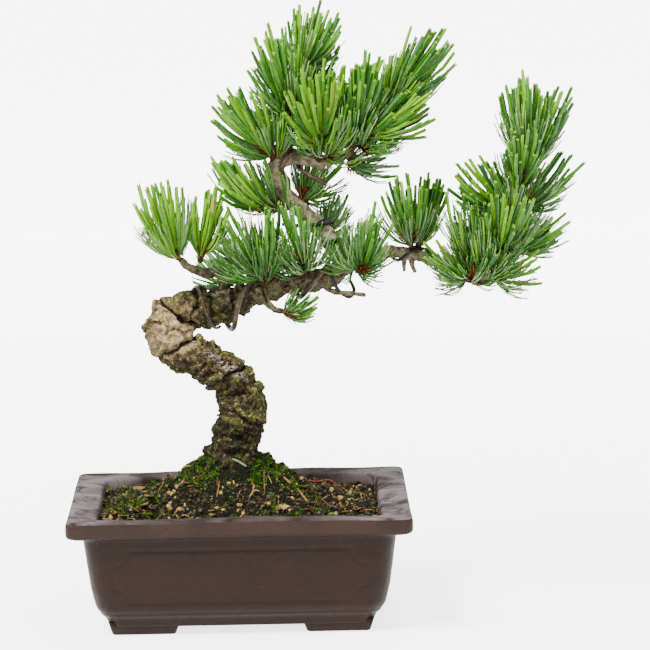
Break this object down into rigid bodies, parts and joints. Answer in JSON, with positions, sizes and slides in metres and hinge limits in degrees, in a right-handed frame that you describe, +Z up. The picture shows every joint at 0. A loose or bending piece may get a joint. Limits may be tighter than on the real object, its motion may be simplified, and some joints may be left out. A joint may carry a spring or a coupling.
{
  "type": "japanese white pine bonsai",
  "caption": "Small wired pine with a doubled-back trunk, needle tufts on the left, at the top and on a long right bough, in a footed rectangular brown pot with a mound of soil.",
  "frame": {"origin": "middle of the whole plant's box, at the height of the pot's feet", "axes": "+X to the right as seen from the front, along the pot's long side; +Y away from the front; +Z up"},
  "size_m": [0.2682, 0.1354, 0.3273],
  "materials": {
    "pot": "satin brown stoneware with pale mineral bloom on the rim",
    "soil": "dark granular soil with moss",
    "bark": "rough grey-brown bark with lichen",
    "pale_bark": "smoother pale grey bark",
    "brown_wire": "brown anodised",
    "black_wire": "black anodised",
    "needles": "green needles with a bluish inner side"
  },
  "bodies": {
    "root": {"bough_apex": "pale_bark", "bough_leader": "pale_bark", "bough_left": "pale_bark", "bough_low": "pale_bark", "bough_right": "pale_bark", "bough_tip": "pale_bark", "dead_twig": "pale_bark", "foliage_apex_back": "needles", "foliage_apex_front": "needles", "foliage_apex_inner": "needles", "foliage_apex_left": "needles", "foliage_apex_top": "needles", "foliage_apex_upper_back": "needles", "foliage_apex_upper_left": "needles", "foliage_front": "needles", "foliage_inner_back": "needles", "foliage_inner_left": "needles", "foliage_inner_right": "needles", "foliage_leader_back": "needles", "foliage_leader_front": "needles", "foliage_leader_left": "needles", "foliage_leader_low": "needles", "foliage_leader_tip": "needles", "foliage_left_back": "needles", "foliage_left_inner": "needles", "foliage_left_outer": "needles", "foliage_low": "needles", "foliage_mid_left": "needles", "foliage_mid_right": "needles", "foliage_right_low": "needles", "foliage_tip_back": "needles", "foliage_tip_front": "needles", "foliage_tip_left": "needles", "foliage_tip_low": "needles", "foliage_tip_outer": "needles", "foliage_tip_right": "needles", "foliage_tip_top": "needles", "foliage_tip_under": "needles", "foliage_tip_upper_left": "needles", "foliage_tip_upper_right": "needles", "pot": "pot", "soil": "soil", "stub_left": "pale_bark", "stub_right": "pale_bark", "trunk_lower": "bark", "trunk_middle": "bark", "trunk_upper": "pale_bark", "wire_bough": "black_wire", "wire_top": "brown_wire", "wire_trunk": "brown_wire", "wire_upper": "black_wire"}
  },
  "joints": []
}
